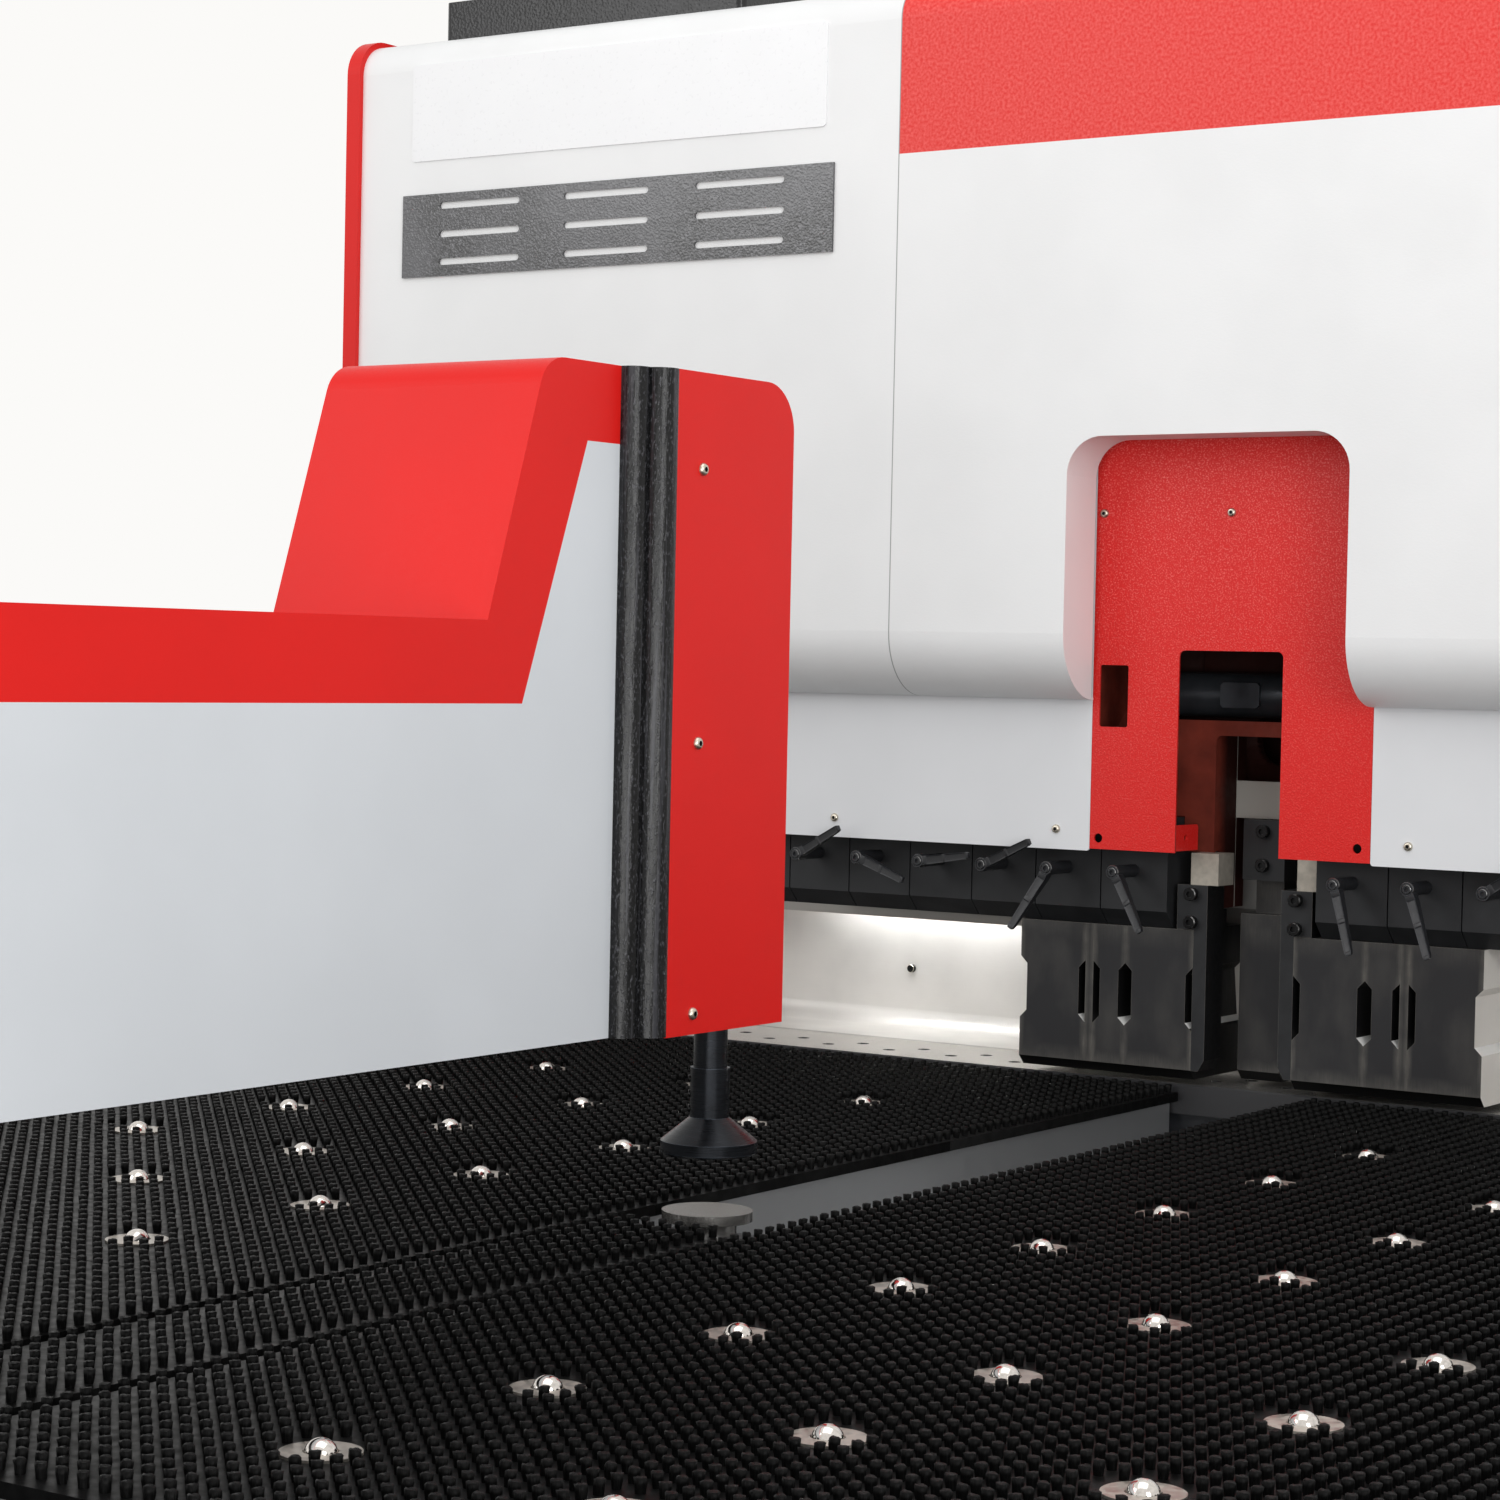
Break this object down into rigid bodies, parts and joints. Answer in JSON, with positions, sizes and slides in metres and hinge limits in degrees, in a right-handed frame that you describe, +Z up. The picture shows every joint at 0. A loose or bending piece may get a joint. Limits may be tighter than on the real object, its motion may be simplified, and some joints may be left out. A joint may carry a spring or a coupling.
{
  "type": "panel bender",
  "caption": "Sheet-metal panel bender with a hooded bending press, a brush and ball table and a C-shaped sheet manipulator.",
  "frame": {"origin": "on the floor, under the middle of the machine's overall length and width", "axes": "+Z up, +Y from the table towards the back of the machine, +X to the operator's right"},
  "size_m": [2.88, 4.28, 2.505],
  "materials": {
    "hood_paint": "fine textured powder coat",
    "red_paint": "satin powder coat",
    "arm_paint": "fine textured powder coat",
    "frame_paint": "workshop enamel",
    "hammered_paint": "hammered enamel",
    "black_oxide": "blackened tool steel",
    "ground_steel": "ground",
    "zinc_screws": "zinc plated",
    "galvanised_steel": "galvanised sheet",
    "ball_steel": "polished",
    "aluminium_profile": "anodised",
    "bristle": "nylon bristle bed",
    "fluted_rubber": "fluted moulding"
  },
  "bodies": {
    "machine": {"side_frames": "frame_paint", "lower_beam": "frame_paint", "upper_beam": "frame_paint", "anvil_bar": "ground_steel", "anvil_screws": "zinc_screws", "hood_left": "hood_paint", "hood_middle": "hood_paint", "hood_right": "hood_paint", "hood_ends": "red_paint", "blank_plate": "hood_paint", "vent_plate": "hammered_paint", "top_unit": "hammered_paint", "ram_rails": "ground_steel", "lift_drives": "zinc_screws", "rear_cover": "hood_paint", "levelling_feet": "zinc_screws", "table_frames": "aluminium_profile", "brush_boards": "bristle", "transfer_cups": "galvanised_steel", "transfer_balls": "ball_steel", "trolley_bed": "frame_paint"},
    "ram": {"ram_beam": "frame_paint", "ram_plate": "red_paint", "ram_panels": "hood_paint", "panel_screws": "zinc_screws", "clamp_blocks": "black_oxide", "centre_holder": "black_oxide"},
    "spindle": {"tool_spindle": "ground_steel"},
    "pack_left": {"tools_left": "black_oxide", "end_block_left": "black_oxide"},
    "pack_right": {"tools_right": "black_oxide", "end_block_right": "black_oxide"},
    "centre": {"centre_tool": "black_oxide"},
    "carriage": {"bend_carriage": "frame_paint"},
    "bender": {"bending_beam": "ground_steel", "bending_blades": "ground_steel"},
    "manipulator": {"arm_frame": "frame_paint", "trolley": "frame_paint", "arm_panels": "arm_paint", "arm_cap": "red_paint", "head_profiles": "fluted_rubber", "head_cover": "red_paint", "head_screws": "zinc_screws", "spindle_housing": "black_oxide", "slot_brush": "bristle"},
    "press": {"press_shaft": "ground_steel"},
    "foot": {"press_foot": "black_oxide"},
    "disc": {"turning_disc": "ground_steel"},
    "lever_left_1": {"clamp_lever_left_1": "black_oxide"},
    "lever_left_2": {"clamp_lever_left_2": "black_oxide"},
    "lever_left_3": {"clamp_lever_left_3": "black_oxide"},
    "lever_left_4": {"clamp_lever_left_4": "black_oxide"},
    "lever_left_5": {"clamp_lever_left_5": "black_oxide"},
    "lever_left_6": {"clamp_lever_left_6": "black_oxide"},
    "lever_right_1": {"clamp_lever_right_1": "black_oxide"},
    "lever_right_2": {"clamp_lever_right_2": "black_oxide"},
    "lever_right_3": {"clamp_lever_right_3": "black_oxide"},
    "lever_right_4": {"clamp_lever_right_4": "black_oxide"},
    "lever_right_5": {"clamp_lever_right_5": "black_oxide"},
    "lever_right_6": {"clamp_lever_right_6": "black_oxide"}
  },
  "joints": [
    {"name": "ram_lift", "type": "slide", "parent": "machine", "child": "ram", "axis": [0, 0, 1], "range_m": [-0.007, 0.125]},
    {"name": "spindle_turn", "type": "hinge", "parent": "ram", "child": "spindle", "pos_m": [0, 1.26, 1.47], "axis": [1, 0, 0], "range_deg": [0, 90]},
    {"name": "pack_left_shift", "type": "slide", "parent": "ram", "child": "pack_left", "axis": [1, 0, 0], "range_m": [0, 0.0221]},
    {"name": "pack_right_shift", "type": "slide", "parent": "ram", "child": "pack_right", "axis": [-1, 0, 0], "range_m": [0, 0.0221]},
    {"name": "centre_lift", "type": "slide", "parent": "ram", "child": "centre", "axis": [0, 0, 1], "range_m": [0, 0.04]},
    {"name": "lever_left_1_swing", "type": "hinge", "parent": "ram", "child": "lever_left_1", "pos_m": [-0.157, 1.1, 1.233], "axis": [0, -1, 0], "range_deg": [-64.5, 90.5]},
    {"name": "lever_left_2_swing", "type": "hinge", "parent": "ram", "child": "lever_left_2", "pos_m": [-0.257, 1.1, 1.233], "axis": [0, -1, 0], "range_deg": [-2.7, 152.3]},
    {"name": "lever_left_3_swing", "type": "hinge", "parent": "ram", "child": "lever_left_3", "pos_m": [-0.357, 1.1, 1.233], "axis": [0, -1, 0], "range_deg": [-48.2, 11.8]},
    {"name": "lever_left_4_swing", "type": "hinge", "parent": "ram", "child": "lever_left_4", "pos_m": [-0.457, 1.1, 1.233], "axis": [0, -1, 0], "range_deg": [-128, 27]},
    {"name": "lever_left_5_swing", "type": "hinge", "parent": "ram", "child": "lever_left_5", "pos_m": [-0.557, 1.1, 1.233], "axis": [0, -1, 0], "range_deg": [-103.2, 51.8]},
    {"name": "lever_left_6_swing", "type": "hinge", "parent": "ram", "child": "lever_left_6", "pos_m": [-0.657, 1.1, 1.233], "axis": [0, -1, 0], "range_deg": [-146.3, 8.7]},
    {"name": "lever_right_1_swing", "type": "hinge", "parent": "ram", "child": "lever_right_1", "pos_m": [0.157, 1.1, 1.233], "axis": [0, -1, 0], "range_deg": [-50.8, 104.2]},
    {"name": "lever_right_2_swing", "type": "hinge", "parent": "ram", "child": "lever_right_2", "pos_m": [0.257, 1.1, 1.233], "axis": [0, -1, 0], "range_deg": [-54.1, 100.9]},
    {"name": "lever_right_3_swing", "type": "hinge", "parent": "ram", "child": "lever_right_3", "pos_m": [0.357, 1.1, 1.233], "axis": [0, -1, 0], "range_deg": [-152, 3]},
    {"name": "lever_right_4_swing", "type": "hinge", "parent": "ram", "child": "lever_right_4", "pos_m": [0.457, 1.1, 1.233], "axis": [0, -1, 0], "range_deg": [-130, 25]},
    {"name": "lever_right_5_swing", "type": "hinge", "parent": "ram", "child": "lever_right_5", "pos_m": [0.557, 1.1, 1.233], "axis": [0, -1, 0], "range_deg": [-100, 55]},
    {"name": "lever_right_6_swing", "type": "hinge", "parent": "ram", "child": "lever_right_6", "pos_m": [0.657, 1.1, 1.233], "axis": [0, -1, 0], "range_deg": [-144, 11]},
    {"name": "carriage_slide", "type": "slide", "parent": "machine", "child": "carriage", "axis": [0, 1, 0], "range_m": [0, 0.04]},
    {"name": "bender_lift", "type": "slide", "parent": "carriage", "child": "bender", "axis": [0, 0, 1], "range_m": [-0.19, 0.06]},
    {"name": "manipulator_travel", "type": "slide", "parent": "machine", "child": "manipulator", "axis": [0, 1, 0], "range_m": [-0.3, 1.18]},
    {"name": "press_lift", "type": "slide", "parent": "manipulator", "child": "press", "axis": [0, 0, 1], "range_m": [-0.055, 0.04]},
    {"name": "foot_turn", "type": "hinge", "parent": "press", "child": "foot", "pos_m": [0, -0.0925, 1.05], "axis": [0, 0, 1], "continuous": true},
    {"name": "disc_turn", "type": "hinge", "parent": "manipulator", "child": "disc", "pos_m": [0, -0.0925, 0.94], "axis": [0, 0, 1], "continuous": true}
  ],
  "couplings": [
    {"joint": "pack_left_shift", "follows": "spindle_turn", "m_per_rad": 0.014006},
    {"joint": "pack_right_shift", "follows": "spindle_turn", "m_per_rad": 0.014006},
    {"joint": "disc_turn", "follows": "foot_turn", "ratio": 1}
  ]
}
